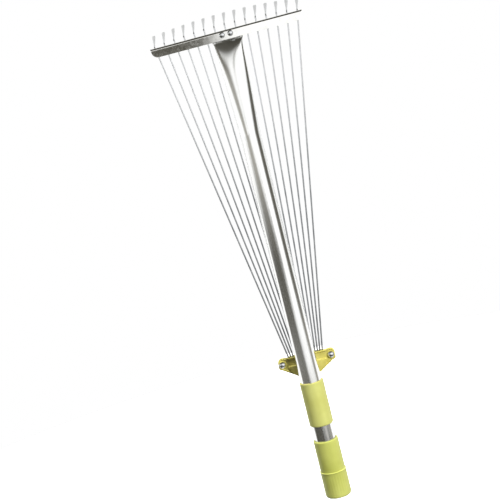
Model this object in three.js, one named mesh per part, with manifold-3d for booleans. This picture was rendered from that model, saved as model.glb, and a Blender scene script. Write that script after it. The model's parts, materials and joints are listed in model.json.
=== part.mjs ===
// An expanding leaf rake head for an extension pole, in millimetres.
// The origin is the centre of the pole socket's mouth. +Z runs up the tube to the tines, +X is
// across the rake and -Y is the front, the side that the tube is on. The tips bend to the back.
import * as THREE from 'three';
import { mergeVertices } from 'three/addons/utils/BufferGeometryUtils.js';
import Module from 'manifold-3d';

const wasm = await Module();
wasm.setup();

// ---- driving dimensions ----
const GAP = 0.3;
const CUT_DEPTH = 40;

// tube
const TUBE_RADIUS = 12.7;
const TUBE_WALL = 1.2;
const TUBE_BOTTOM = 32.5;
const FLATTEN_START = 448;
const FLATTEN_END = 564;
const FLAT_THICKNESS = 3;
const CAVITY_END = 558;
const THINNEST_INSIDE = 0.08;

// pole socket
const SOCKET_LENGTH = 71;
const SOCKET_SHOULDER = 32;
const SOCKET_GRIP_RADIUS = 15.9;
const SOCKET_NECK_RADIUS = 15.2;
const SOCKET_RIDGE_RADIUS = 16.3;
const SOCKET_BORE_RADIUS = 9.8;

// lock sleeve, and the split collet that it squeezes
const SLEEVE_BOTTOM = 90;
const SLEEVE_TOP = 144;
const SLEEVE_RADIUS = 14.6;
const SLEEVE_COUNTERBORE_RADIUS = 13.75;
const COLLET_RADIUS = 13.65;
const COLLET_BOTTOM = 124;
const COLLET_SPLIT = 3;
const RUNNING_CLEARANCE = 0.1;

// tine holder
const HOLDER_TOP = 175;
const HOLDER_BOTTOM = 149;
const HOLDER_HALF_WIDTH = 35.6;
const WING_BOTTOM = 160.5;
const WING_CORNER = 5.4;
const HOLDER_WAIST_HALF = 13.5;
const GUSSET_HALF_WIDTH = 24;
const GUSSET_TOP = 164;
const GUSSET_CLEARANCE = 0.6;
const WAIST_SHOULDER = 6.5;
const LOBE_RUN_IN = 3.5;
const STEM_HALF_WIDTH = 8;
const SADDLE_HEIGHT = 6;
const SADDLE_FRONT_Y = 9;
const PIVOT_BAR_HALF_WIDTH = 22.5;
const WING_THICKNESS = 2;
const BACK_WING_THICKNESS = 2.2;
const PIVOT_BAR_THICKNESS = 4.6;
const PIVOT_FLOOR_CLEARANCE = 2.5;
const HOLDER_SCREW_X = 30.4;
const HOLDER_SCREW_Z = 167.3;
const HOLDER_BOSS_RADIUS = 4.6;

// tines
const TINE_COUNT = 15;
const WIRE_RADIUS = 1;
const TINE_Y = 18.5;
const PIVOT_Z = 160;
const PIVOT_PITCH = 2.7;
const PIVOT_HOLE_RADIUS = 1.12;
const TINE_LENGTH = 422;
const HOOK_DEPTH = 5.6;
const HOOK_BEND = 1.5;
const TIP_BEND = 3;
const TIP_ANGLE = THREE.MathUtils.degToRad(62);
const TIP_LENGTH = 43;
const TIP_WIDENING = 2.3;
const TIP_THINNING = 0.5;

// guide plate
const GUIDE_TOP = 576;
const GUIDE_SHEET = 1.5;
const GUIDE_HALF_LENGTH = 93.5;
const GUIDE_FLANGE_HEIGHT = 11.8;
const GUIDE_CORNER = 8;
const WEB_CORNER = 3;
const GUIDE_DEPTH = 15.5;
const GUIDE_PITCH = 12.5;
const GUIDE_HOLE_RADIUS = 1.9;
const BOLT_X = 5.05;
const BOLT_DROP = 5.7;
const BOLT_RADIUS = 2;
const HEAD_RIM = 0.4;
const BOLT_HEAD_RADIUS = 3.4;
const BOLT_HEAD_HEIGHT = 2.3;
const SCREW_HEAD_RADIUS = 4;
const SCREW_HEAD_HEIGHT = 2.8;
const NUT_ACROSS_FLATS = 7;
const NUT_THREAD_CLEARANCE = 0.15;
const NUT_THICKNESS = 3.2;
const GUIDE_BOLT_END = 0.6;
const HOLDER_SCREW_END = 0.8;

// ---- sizes worked out from them ----
const FLAT_FRONT_Y = TUBE_RADIUS - FLAT_THICKNESS;
const FLANGE_FRONT_Y = FLAT_FRONT_Y - GAP - GUIDE_SHEET;
const WEB_BOTTOM = GUIDE_TOP - GUIDE_SHEET;
const BOLT_Z = GUIDE_TOP - BOLT_DROP;
const GUSSET_FRONT_Y = TUBE_RADIUS + GUSSET_CLEARANCE;
const CHANNEL_FRONT_Y = TINE_Y - WIRE_RADIUS - GAP;
const CHANNEL_BACK_Y = TINE_Y + WIRE_RADIUS + GAP;
const WING_FRONT_Y = CHANNEL_FRONT_Y - WING_THICKNESS;
const HOLDER_BACK_Y = CHANNEL_BACK_Y + PIVOT_BAR_THICKNESS;
const WING_BACK_Y = CHANNEL_BACK_Y + BACK_WING_THICKNESS;

// ---- materials ----
const aluminium = { color: 0xc9c9c6, roughness: 0.25, metalness: 1 };
const galvanised = { color: 0xa9aaa4, roughness: 0.38, metalness: 1 };
const springSteel = { color: 0x8b8c8c, roughness: 0.35, metalness: 1 };
const zinc = { color: 0xcfd1d2, roughness: 0.2, metalness: 1 };
const socketPlastic = { color: 0xb9b650, roughness: 0.45, metalness: 0 };
const sleevePlastic = { color: 0xbcb869, roughness: 0.5, metalness: 0 };
const holderPlastic = { color: 0xb2a23c, roughness: 0.4, metalness: 0 };

// ---- solids ----
function solidOf(geometry) {
  const plain = geometry.index ? geometry.toNonIndexed() : geometry.clone();
  plain.deleteAttribute('normal');
  plain.deleteAttribute('uv');
  const merged = mergeVertices(plain, 1e-4);
  const vertProperties = new Float32Array(merged.attributes.position.array);
  const triVerts = new Uint32Array(merged.index.array);
  return new wasm.Manifold(new wasm.Mesh({ numProp: 3, vertProperties, triVerts }));
}

function geometryOf(solid) {
  const cut = solid.getMesh();
  const geometry = new THREE.BufferGeometry();
  geometry.setAttribute('position', new THREE.BufferAttribute(cut.vertProperties, 3));
  geometry.setIndex(new THREE.BufferAttribute(cut.triVerts, 1));
  return geometry;
}

const joined = (first, ...others) => others.reduce((sum, other) => sum.add(other), first);
const without = (first, ...others) => others.reduce((rest, other) => rest.subtract(other), first);

// A LatheGeometry turns about Y, so this one is stood up to turn about Z.
// Points are [radius, height] pairs that go round the section anticlockwise.
function turned(points, segments = 40) {
  const profile = points.map(([radius, height]) => new THREE.Vector2(radius, height));
  return new THREE.LatheGeometry(profile, segments).rotateX(Math.PI / 2);
}

// An outline drawn in X and Z, as a plate between two depths in Y.
function plateXZ(shape, frontY, backY, curveSegments = 6) {
  const depth = backY - frontY;
  const geometry = new THREE.ExtrudeGeometry(shape, { depth, bevelEnabled: false, curveSegments });
  return geometry.rotateX(Math.PI / 2).translate(0, backY, 0);
}

// An outline drawn in X and Y, as a plate between two heights.
function plateXY(shape, bottom, top, curveSegments = 6) {
  const depth = top - bottom;
  const geometry = new THREE.ExtrudeGeometry(shape, { depth, bevelEnabled: false, curveSegments });
  return geometry.translate(0, 0, bottom);
}

function rodAlongY(x, z, radius, frontY, backY, segments = 20) {
  const rod = new THREE.CylinderGeometry(radius, radius, backY - frontY, segments);
  return rod.translate(x, (frontY + backY) / 2, z);
}

const boltHole = (x, z) => solidOf(rodAlongY(x, z, BOLT_RADIUS + GAP, 0, CUT_DEPTH));

function box(lowX, lowY, lowZ, highX, highY, highZ) {
  const geometry = new THREE.BoxGeometry(highX - lowX, highY - lowY, highZ - lowZ);
  return geometry.translate((lowX + highX) / 2, (lowY + highY) / 2, (lowZ + highZ) / 2);
}

const rake = new THREE.Group();

function addPiece(name, geometry, look) {
  const piece = new THREE.Mesh(geometry, new THREE.MeshStandardMaterial(look));
  piece.name = name;
  rake.add(piece);
  return piece;
}

// ---- tube: round, with its top pressed flat against the line of its back ----
function tubeThickness(z) {
  const t = THREE.MathUtils.clamp((z - FLATTEN_START) / (FLATTEN_END - FLATTEN_START), 0, 1);
  return THREE.MathUtils.lerp(2 * TUBE_RADIUS, FLAT_THICKNESS, t * (0.72 + 0.28 * t ** 7));
}

// The pressed section keeps its perimeter: two half circles with straight walls between them.
function pressFlat(geometry) {
  const position = geometry.attributes.position;
  for (let i = 0; i < position.count; i += 1) {
    const [x, y, z] = [position.getX(i), position.getY(i), position.getZ(i)];
    const thickness = tubeThickness(z);
    const straight = (Math.PI * (2 * TUBE_RADIUS - thickness)) / 4;
    const radius = Math.hypot(x, y);
    const inset = TUBE_RADIUS - radius;
    const endRadius = Math.max(thickness / 2 - inset, radius === 0 ? 0 : THINNEST_INSIDE);
    const side = Math.abs(x) < 1e-3 ? 0 : Math.sign(x);
    const scale = radius === 0 ? 0 : endRadius / radius;
    position.setXYZ(i, side * straight + x * scale, y * scale + TUBE_RADIUS - thickness / 2, z);
  }
  return geometry;
}

const guideBoltHoles = () => [-1, 1].map((side) => boltHole(side * BOLT_X, BOLT_Z));

function addTube() {
  const inner = TUBE_RADIUS - TUBE_WALL;
  const top = WEB_BOTTOM - GAP;
  const pressed = [];
  for (let step = 0; step <= 8; step += 1) {
    pressed.push(THREE.MathUtils.lerp(FLATTEN_START, FLATTEN_END, step / 8));
  }
  const outside = pressed.map((z) => [TUBE_RADIUS, z]);
  const inside = pressed.slice(0, -1).map((z) => [inner, z]).reverse();
  const tube = turned([
    [0, CAVITY_END], [inner, CAVITY_END], ...inside, [inner, TUBE_BOTTOM],
    [TUBE_RADIUS, TUBE_BOTTOM], ...outside, [TUBE_RADIUS, top], [0, top],
  ]);
  addPiece('rake_tube', geometryOf(without(solidOf(pressFlat(tube)), ...guideBoltHoles())), aluminium);
}

// ---- pole socket: the tube stands on its shoulder, and a pole's tip screws into its mouth ----
function addPoleSocket() {
  const outside = [
    [SOCKET_BORE_RADIUS + 0.8, 0], [SOCKET_GRIP_RADIUS - 2, 0], [SOCKET_GRIP_RADIUS - 0.6, 0.6],
    [SOCKET_GRIP_RADIUS, 2], [SOCKET_GRIP_RADIUS, SOCKET_SHOULDER - 1.2],
    [SOCKET_RIDGE_RADIUS, SOCKET_SHOULDER - 0.7], [SOCKET_RIDGE_RADIUS, SOCKET_SHOULDER + 0.3],
    [SOCKET_NECK_RADIUS, SOCKET_SHOULDER + 0.8], [SOCKET_NECK_RADIUS, SOCKET_LENGTH - 0.6],
    [SOCKET_NECK_RADIUS - 0.6, SOCKET_LENGTH],
  ];
  const seat = TUBE_RADIUS + 0.2;
  const inside = [
    [seat, SOCKET_LENGTH], [seat, TUBE_BOTTOM - GAP], [SOCKET_BORE_RADIUS, TUBE_BOTTOM - GAP],
    [SOCKET_BORE_RADIUS, 0.8],
  ];
  const ring = [...outside, ...inside, outside[0]];
  addPiece('pole_socket', turned(ring), socketPlastic);
}

// ---- lock sleeve: turns on the tube, and its counterbore squeezes the collet ----
function addLockSleeve() {
  const bore = TUBE_RADIUS + RUNNING_CLEARANCE;
  const floor = COLLET_BOTTOM - GAP;
  const ring = [
    [bore, SLEEVE_BOTTOM], [SLEEVE_RADIUS - 0.8, SLEEVE_BOTTOM], [SLEEVE_RADIUS, SLEEVE_BOTTOM + 0.8],
    [SLEEVE_RADIUS, SLEEVE_TOP - 0.4], [SLEEVE_RADIUS - 0.4, SLEEVE_TOP],
    [SLEEVE_COUNTERBORE_RADIUS, SLEEVE_TOP], [SLEEVE_COUNTERBORE_RADIUS, floor], [bore, floor],
    [bore, SLEEVE_BOTTOM],
  ];
  addPiece('lock_sleeve', turned(ring), sleevePlastic);
}

// ---- tine holder: two plates that pinch the tines' hooked ends between them ----
// The wings end in round lobes about the two screws, and the lower edges slope in to the waist.
function holderOutline() {
  const lobe = HOLDER_HALF_WIDTH - WING_CORNER;
  const lobeTop = HOLDER_TOP - WING_CORNER;
  const shape = new THREE.Shape();
  shape.moveTo(-HOLDER_WAIST_HALF, HOLDER_BOTTOM);
  shape.lineTo(HOLDER_WAIST_HALF, HOLDER_BOTTOM);
  shape.lineTo(HOLDER_HALF_WIDTH - LOBE_RUN_IN, WING_BOTTOM);
  shape.quadraticCurveTo(HOLDER_HALF_WIDTH, WING_BOTTOM + 2, HOLDER_HALF_WIDTH, lobeTop);
  shape.absarc(lobe, lobeTop, WING_CORNER, 0, Math.PI / 2);
  shape.lineTo(-lobe, HOLDER_TOP);
  shape.absarc(-lobe, lobeTop, WING_CORNER, Math.PI / 2, Math.PI);
  shape.quadraticCurveTo(-HOLDER_HALF_WIDTH, WING_BOTTOM + 2, LOBE_RUN_IN - HOLDER_HALF_WIDTH, WING_BOTTOM);
  return shape;
}

// A raised stretch across the waist, wider at its top.
function waistOutline(halfWidth, top) {
  const shape = new THREE.Shape();
  shape.moveTo(-HOLDER_WAIST_HALF, HOLDER_BOTTOM);
  shape.lineTo(HOLDER_WAIST_HALF, HOLDER_BOTTOM);
  shape.lineTo(halfWidth, HOLDER_BOTTOM + WAIST_SHOULDER);
  shape.lineTo(halfWidth, top - 1);
  shape.lineTo(halfWidth - 1, top);
  shape.lineTo(1 - halfWidth, top);
  shape.lineTo(-halfWidth, top - 1);
  shape.lineTo(-halfWidth, HOLDER_BOTTOM + WAIST_SHOULDER);
  return shape;
}

const screwHoles = () => [-1, 1].map((side) => boltHole(side * HOLDER_SCREW_X, HOLDER_SCREW_Z));

function addHolderFront() {
  const wings = solidOf(plateXZ(holderOutline(), WING_FRONT_Y, CHANNEL_FRONT_Y));
  const gusset = solidOf(plateXZ(
    waistOutline(GUSSET_HALF_WIDTH, GUSSET_TOP), GUSSET_FRONT_Y, CHANNEL_FRONT_Y));
  const bore = TUBE_RADIUS + RUNNING_CLEARANCE;
  const saddleTop = HOLDER_BOTTOM + SADDLE_HEIGHT;
  const collet = solidOf(turned([
    [bore, COLLET_BOTTOM], [COLLET_RADIUS, COLLET_BOTTOM], [COLLET_RADIUS, saddleTop],
    [bore, saddleTop], [bore, COLLET_BOTTOM],
  ], 48));
  const aboveSleeve = SLEEVE_TOP + GAP;
  const front = solidOf(box(-20, -20, aboveSleeve, 20, SADDLE_FRONT_Y, saddleTop + 1));
  const split = solidOf(box(-COLLET_SPLIT / 2, -20, 100, COLLET_SPLIT / 2, 0, aboveSleeve + 1));
  const stem = solidOf(box(
    -STEM_HALF_WIDTH, TUBE_RADIUS + GAP, aboveSleeve,
    STEM_HALF_WIDTH, CHANNEL_FRONT_Y, HOLDER_BOTTOM + 1));
  const tubeHole = solidOf(new THREE.CylinderGeometry(bore, bore, 200, 48)
    .rotateX(Math.PI / 2).translate(0, 0, 150));
  const whole = joined(wings, gusset, stem, without(collet, front, split));
  addPiece('tine_holder_front', geometryOf(without(whole, tubeHole, ...screwHoles())), holderPlastic);
}

const tineNumbers = Array.from({ length: TINE_COUNT }, (_, i) => i - (TINE_COUNT - 1) / 2);

function addHolderBack() {
  const plate = solidOf(plateXZ(holderOutline(), CHANNEL_BACK_Y, WING_BACK_Y));
  const pivotBar = solidOf(plateXZ(
    waistOutline(PIVOT_BAR_HALF_WIDTH, HOLDER_TOP), CHANNEL_BACK_Y, HOLDER_BACK_Y));
  const spacerTop = PIVOT_Z - WIRE_RADIUS - PIVOT_FLOOR_CLEARANCE;
  const spacer = solidOf(box(
    -HOLDER_WAIST_HALF, CHANNEL_FRONT_Y + GAP, HOLDER_BOTTOM, HOLDER_WAIST_HALF, WING_BACK_Y, spacerTop));
  const bosses = [-1, 1].map((side) => solidOf(rodAlongY(
    side * HOLDER_SCREW_X, HOLDER_SCREW_Z, HOLDER_BOSS_RADIUS, CHANNEL_FRONT_Y + GAP, WING_BACK_Y)));
  const pivotHoles = tineNumbers.map((number) => solidOf(rodAlongY(
    number * PIVOT_PITCH, PIVOT_Z, PIVOT_HOLE_RADIUS, 0, CUT_DEPTH, 12)));
  const whole = joined(plate, pivotBar, spacer, ...bosses);
  addPiece('tine_holder_back', geometryOf(without(whole, ...pivotHoles, ...screwHoles())), holderPlastic);
}

// ---- tines ----
// A path through a list of points, with one step of an extrusion for each.
class PathThroughPoints extends THREE.Curve {
  constructor(points) {
    super();
    this.points = points;
  }

  getPoint(t, target = new THREE.Vector3()) {
    const place = THREE.MathUtils.clamp(t, 0, 1) * (this.points.length - 1);
    const index = Math.min(Math.floor(place), this.points.length - 2);
    return target.lerpVectors(this.points[index], this.points[index + 1], place - index);
  }

  getUtoTmapping(u) {
    return u;
  }
}

// Points of a bend in the YZ plane, from a centre, at angles measured from -Y towards +Z.
function bendPoints(centreY, centreZ, radius, fromAngle, toAngle, steps) {
  const points = [];
  for (let step = 0; step <= steps; step += 1) {
    const angle = THREE.MathUtils.lerp(fromAngle, toAngle, step / steps);
    const y = centreY - radius * Math.cos(angle);
    points.push(new THREE.Vector3(0, y, centreZ + radius * Math.sin(angle)));
  }
  return points;
}

// The pivot is at the local origin. The hook runs along +Y from it and the wire up along +Z.
function tineGeometry() {
  const tipStart = bendPoints(TIP_BEND, TINE_LENGTH, TIP_BEND, 0, TIP_ANGLE, 4);
  const bendEnd = tipStart.at(-1);
  const along = new THREE.Vector3(0, Math.sin(TIP_ANGLE), Math.cos(TIP_ANGLE));
  const tip = [0.35, 0.7, 1].map((part) => bendEnd.clone().addScaledVector(along, part * TIP_LENGTH));
  const hook = bendPoints(HOOK_BEND, HOOK_BEND, HOOK_BEND, -Math.PI / 2, 0, 4);
  const path = new PathThroughPoints([
    new THREE.Vector3(0, HOOK_DEPTH, 0), ...hook, new THREE.Vector3(0, 0, TINE_LENGTH / 2),
    ...tipStart, ...tip,
  ]);
  const section = new THREE.Shape().absarc(0, 0, WIRE_RADIUS, 0, 2 * Math.PI);
  const wire = new THREE.ExtrudeGeometry(section, {
    steps: path.points.length - 1, curveSegments: 4, extrudePath: path, bevelEnabled: false,
  });
  return flattenTip(wire, bendEnd, along);
}

// The wire's end is hammered wider across and thinner through, more so towards the end.
function flattenTip(wire, bendEnd, along) {
  const through = new THREE.Vector3(0, along.z, -along.y);
  const position = wire.attributes.position;
  const point = new THREE.Vector3();
  for (let i = 0; i < position.count; i += 1) {
    point.fromBufferAttribute(position, i);
    const offset = point.clone().sub(bendEnd);
    const part = THREE.MathUtils.clamp(offset.dot(along) / TIP_LENGTH, 0, 1);
    const thickness = offset.dot(through);
    if (part > 0.01) {
      point.addScaledVector(through, -thickness * TIP_THINNING * part);
      point.x *= THREE.MathUtils.lerp(1, TIP_WIDENING, part);
      position.setXYZ(i, point.x, point.y, point.z);
    }
  }
  return wire;
}

function addTines() {
  const height = GUIDE_TOP - GUIDE_SHEET / 2 - PIVOT_Z;
  tineNumbers.forEach((number, index) => {
    const name = `tine_${String(index + 1).padStart(2, '0')}`;
    const tine = addPiece(name, tineGeometry(), springSteel);
    tine.position.set(number * PIVOT_PITCH, TINE_Y, PIVOT_Z);
    tine.rotation.y = Math.atan2(number * (GUIDE_PITCH - PIVOT_PITCH), height);
  });
}

// ---- guide plate: a folded strip, with its flange bolted to the tube's flat end ----
function flangeOutline() {
  const low = GUIDE_TOP - GUIDE_FLANGE_HEIGHT;
  const end = GUIDE_HALF_LENGTH - 1.5;
  const shape = new THREE.Shape();
  shape.moveTo(-end, GUIDE_TOP - 0.5);
  shape.quadraticCurveTo(-end + 1, low, -end + GUIDE_CORNER, low);
  shape.lineTo(end - GUIDE_CORNER, low);
  shape.quadraticCurveTo(end - 1, low, end, GUIDE_TOP - 0.5);
  return shape;
}

function webOutline() {
  const back = FLANGE_FRONT_Y + GUIDE_DEPTH;
  const shape = new THREE.Shape();
  shape.moveTo(-GUIDE_HALF_LENGTH, FLANGE_FRONT_Y);
  shape.lineTo(GUIDE_HALF_LENGTH, FLANGE_FRONT_Y);
  shape.lineTo(GUIDE_HALF_LENGTH, back - WEB_CORNER);
  shape.quadraticCurveTo(GUIDE_HALF_LENGTH, back, GUIDE_HALF_LENGTH - WEB_CORNER, back);
  shape.lineTo(WEB_CORNER - GUIDE_HALF_LENGTH, back);
  shape.quadraticCurveTo(-GUIDE_HALF_LENGTH, back, -GUIDE_HALF_LENGTH, back - WEB_CORNER);
  tineNumbers.forEach((number) => {
    shape.holes.push(new THREE.Path().absarc(
      number * GUIDE_PITCH, TINE_Y, GUIDE_HOLE_RADIUS, 0, 2 * Math.PI));
  });
  return shape;
}

function addGuide() {
  const flange = solidOf(plateXZ(flangeOutline(), FLANGE_FRONT_Y, FLANGE_FRONT_Y + GUIDE_SHEET));
  const web = solidOf(plateXY(webOutline(), WEB_BOTTOM, GUIDE_TOP, 8));
  addPiece('tine_guide', geometryOf(without(joined(web, flange), ...guideBoltHoles())), galvanised);
}

// ---- fasteners ----
// A domed screw along Y, with the underside of its head at underHeadY.
function domedScrew(x, z, headRadius, headHeight, underHeadY, endY) {
  const length = endY - underHeadY;
  const profile = [[0, -length], [BOLT_RADIUS, -length], [BOLT_RADIUS, 0], [headRadius, 0]];
  for (let step = 1; step <= 4; step += 1) {
    const angle = (step / 4) * (Math.PI / 2);
    const radius = step === 4 ? 0 : headRadius * Math.cos(angle);
    profile.push([radius, HEAD_RIM + (headHeight - HEAD_RIM) * Math.sin(angle)]);
  }
  return turned(profile, 20).rotateX(Math.PI / 2).translate(x, underHeadY, z);
}

function hexNut(x, z, frontY) {
  const corner = NUT_ACROSS_FLATS / Math.sqrt(3);
  const shape = new THREE.Shape();
  for (let side = 0; side < 6; side += 1) {
    const angle = (side * Math.PI) / 3;
    const place = [x + corner * Math.cos(angle), z + corner * Math.sin(angle)];
    if (side === 0) shape.moveTo(...place);
    else shape.lineTo(...place);
  }
  shape.holes.push(new THREE.Path().absarc(x, z, BOLT_RADIUS + NUT_THREAD_CLEARANCE, 0, 2 * Math.PI));
  return plateXZ(shape, frontY, frontY + NUT_THICKNESS, 8);
}

function addFasteners() {
  for (const [side, label] of [[-1, 'left'], [1, 'right']]) {
    const guideNutY = TUBE_RADIUS + GAP;
    const bolt = domedScrew(
      side * BOLT_X, BOLT_Z, BOLT_HEAD_RADIUS, BOLT_HEAD_HEIGHT,
      FLANGE_FRONT_Y - GAP, guideNutY + NUT_THICKNESS + GUIDE_BOLT_END);
    addPiece(`guide_bolt_${label}`, bolt, zinc);
    addPiece(`guide_nut_${label}`, hexNut(side * BOLT_X, BOLT_Z, guideNutY), zinc);
    const holderNutY = WING_BACK_Y + GAP;
    const screw = domedScrew(
      side * HOLDER_SCREW_X, HOLDER_SCREW_Z, SCREW_HEAD_RADIUS, SCREW_HEAD_HEIGHT,
      WING_FRONT_Y - GAP, holderNutY + NUT_THICKNESS + HOLDER_SCREW_END);
    addPiece(`holder_screw_${label}`, screw, zinc);
    addPiece(`holder_nut_${label}`, hexNut(side * HOLDER_SCREW_X, HOLDER_SCREW_Z, holderNutY), zinc);
  }
}

addTube();
addPoleSocket();
addLockSleeve();
addHolderFront();
addHolderBack();
addTines();
addGuide();
addFasteners();

export default rake;
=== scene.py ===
"""An expanding leaf rake head: fine meshes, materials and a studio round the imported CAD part.

Everything is in metres, in the part's own frame: +Z runs up the tube to the tines, +X across the
rake, and -Y is the front, the side that the tube is on.
"""

import json
import math

import bmesh
import bpy
from mathutils import Matrix, Vector


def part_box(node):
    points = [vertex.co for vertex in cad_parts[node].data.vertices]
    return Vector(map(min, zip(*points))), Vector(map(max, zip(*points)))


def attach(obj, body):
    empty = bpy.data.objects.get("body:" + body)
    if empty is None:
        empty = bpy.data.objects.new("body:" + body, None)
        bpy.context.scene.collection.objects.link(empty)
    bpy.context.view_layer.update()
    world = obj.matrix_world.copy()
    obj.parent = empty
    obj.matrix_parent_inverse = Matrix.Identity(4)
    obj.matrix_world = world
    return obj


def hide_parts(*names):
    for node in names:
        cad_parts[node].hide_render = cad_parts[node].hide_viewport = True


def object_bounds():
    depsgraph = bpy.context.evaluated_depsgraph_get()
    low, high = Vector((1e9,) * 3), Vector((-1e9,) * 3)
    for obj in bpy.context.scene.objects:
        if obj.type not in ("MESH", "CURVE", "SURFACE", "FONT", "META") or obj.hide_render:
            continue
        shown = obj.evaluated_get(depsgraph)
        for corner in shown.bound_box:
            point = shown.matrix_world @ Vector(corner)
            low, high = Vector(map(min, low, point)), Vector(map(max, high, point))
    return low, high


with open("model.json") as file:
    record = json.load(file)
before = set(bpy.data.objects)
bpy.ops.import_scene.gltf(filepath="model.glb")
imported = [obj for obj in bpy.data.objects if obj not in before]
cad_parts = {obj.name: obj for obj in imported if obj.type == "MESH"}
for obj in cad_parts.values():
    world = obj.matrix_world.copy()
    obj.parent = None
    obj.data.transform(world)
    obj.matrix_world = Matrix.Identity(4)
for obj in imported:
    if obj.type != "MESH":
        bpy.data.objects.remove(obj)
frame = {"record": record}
cad_low, cad_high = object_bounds()

MM = 0.001
BODY_OF = {
    node: body
    for body, nodes in frame["record"]["behaviour"]["bodies"].items()
    for node in nodes
}


def centre_of(node):
    low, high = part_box(node)
    return (low + high) / 2


# ---- places and sizes read from the frame ----
tube_low, tube_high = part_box("rake_tube")
_, socket_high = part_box("pole_socket")
sleeve_low, sleeve_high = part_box("lock_sleeve")
_, front_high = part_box("tine_holder_front")
back_low, back_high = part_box("tine_holder_back")
guide_low, guide_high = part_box("tine_guide")
middle_tine_low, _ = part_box("tine_08")

# ---- driving dimensions that the boxes don't hold ----
GAP = 0.3 * MM

TUBE_RADIUS = -tube_low.y
TUBE_WALL = 1.2 * MM
FLATTEN_START = 448 * MM
FLATTEN_END = 564 * MM
CAVITY_END = 558 * MM
FLAT_THICKNESS = 3 * MM
THINNEST_INSIDE = 0.05 * MM
EDGE_BREAK = 0.3 * MM

TAPER_SHARE = 0.72
DENT_LEFT_STEEPNESS = 6
DENT_RIGHT_STEEPNESS = 30

SOCKET_SHOULDER = 32 * MM
SOCKET_GRIP_RADIUS = 15.9 * MM
SOCKET_NECK_RADIUS = 15.2 * MM
SOCKET_BORE_RADIUS = 9.8 * MM
SOCKET_FOOT_ROUND = 2.2 * MM
SOCKET_RIM_ROUND = 1.2 * MM
RIDGE_BEAD = 0.38 * MM
RIDGE_RISE = 1.6 * MM
RIDGE_FALL = 0.4 * MM
SEAT_CLEARANCE = 0.2 * MM
SEAT_LEAD_IN = 0.5 * MM
POLE_THREAD_DEPTH = 1.3 * MM
POLE_THREAD_PITCH = 4.6 * MM
POLE_THREAD_START = 1.4 * MM
GRIP_RIBS = 30
GRIP_RIB_DEPTH = 0.13 * MM

SLEEVE_FOOT_ROUND = 1.5 * MM
SLEEVE_RIM_ROUND = 0.35 * MM
COLLET_RADIUS = 13.65 * MM
COLLET_BOTTOM = 124 * MM
COLLET_SPLIT = 3 * MM
RUNNING_CLEARANCE = 0.1 * MM

WING_THICKNESS = 2 * MM
WING_CORNER = 5.4 * MM
WING_BOTTOM = 160.5 * MM
WING_FOOT_INSET = 4 * MM
WING_FOOT_LIFT = 3 * MM
WING_FOOT_ROUND = 2.4 * MM
TOP_DIP = 0.7 * MM
TOP_DIP_START = 5 * MM
WAIST_HALF = 13.5 * MM
WING_RECESS_EDGE = 1.6 * MM
WING_RECESS_DEPTH = 1.1 * MM
SEAT_RADIUS = 4.9 * MM
BOSS_RADIUS = 4.6 * MM
STEM_HALF_WIDTH = 8 * MM
SADDLE_FRONT_Y = 9 * MM
SADDLE_HEIGHT = 6 * MM
SADDLE_OVERLAP = 0.2 * MM
GUSSET_HALF_WIDTH = 24 * MM
GUSSET_TOP = 164 * MM
GUSSET_SLANT = 3.4 * MM
GUSSET_SHOULDER = 5.2 * MM
GUSSET_CORNER = 0.8 * MM
PIVOT_BAR_HALF_WIDTH = 22.5 * MM
PIVOT_BAR_SLANT = 1 * MM
PIVOT_BAR_EDGE = 0.8 * MM
SPACER_BELOW_WIRE = 2.5 * MM
RIB_HALF_HEIGHT = 0.8 * MM
RIB_RISE = 1.6 * MM

TINE_COUNT = 15
WIRE_RADIUS = 1 * MM
PIVOT_PITCH = 2.7 * MM
PIVOT_HOLE_RADIUS = 1.12 * MM
TINE_LENGTH = 422 * MM
HOOK_DEPTH = 5.6 * MM
HOOK_BEND = 1.5 * MM
TIP_BEND = 3 * MM
TIP_ANGLE = math.radians(62)
TIP_LENGTH = 43 * MM
TIP_WIDENING = 2.3
TIP_THINNING = 0.5

GUIDE_SHEET = 1.5 * MM
GUIDE_EDGE_BREAK = 0.3 * MM
FLANGE_SHORTER_BY = 1.5 * MM
GUIDE_FOLD = 3.2 * MM
GUIDE_PITCH = 12.5 * MM
GUIDE_HOLE_RADIUS = 1.9 * MM
FLANGE_CORNER = 8 * MM
WEB_CORNER = 3 * MM

BOLT_RADIUS = 2 * MM
THREAD_STEP = 0.7 * MM
THREAD_DEPTH = 0.25 * MM
HEAD_RIM = 0.4 * MM
HEAD_UNDERCUT = 0.1 * MM
HEAD_MIDDLE_RADIUS = 0.02 * MM
BOLT_HEAD_HEIGHT = 2.3 * MM
SCREW_HEAD_HEIGHT = 2.8 * MM
NUT_ACROSS_FLATS = 7 * MM
NUT_FACE_RADIUS = 3.3 * MM
NUT_CORNER = 0.45 * MM
NUT_BORE_CLEARANCE = 0.15 * MM

DRILL_REACH = 40 * MM

# ---- sizes worked out from them ----
TINE_Y = middle_tine_low.y + WIRE_RADIUS
PIVOT_Z = middle_tine_low.z + WIRE_RADIUS
HOLDER_HALF_WIDTH = front_high.x
HOLDER_TOP = front_high.z
HOLDER_BOTTOM = back_low.z
CHANNEL_FRONT_Y = front_high.y
CHANNEL_BACK_Y = TINE_Y + WIRE_RADIUS + GAP
WING_FRONT_Y = CHANNEL_FRONT_Y - WING_THICKNESS
WING_BACK_Y = CHANNEL_BACK_Y + 2.2 * MM
HOLDER_BACK_Y = back_high.y
STEM_BOTTOM = sleeve_high.z + GAP
GUSSET_FRONT_Y = TUBE_RADIUS + 0.6 * MM
SCREW = centre_of("holder_screw_right")
BOLT = centre_of("guide_bolt_right")


# ---- mesh tools ----
def lerp(low, high, share):
    return low + (high - low) * share


def ease(share):
    """From 0 to 1 with no corner at either end."""
    share = max(0.0, min(1.0, share))
    return share * share * (3 - 2 * share)


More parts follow.
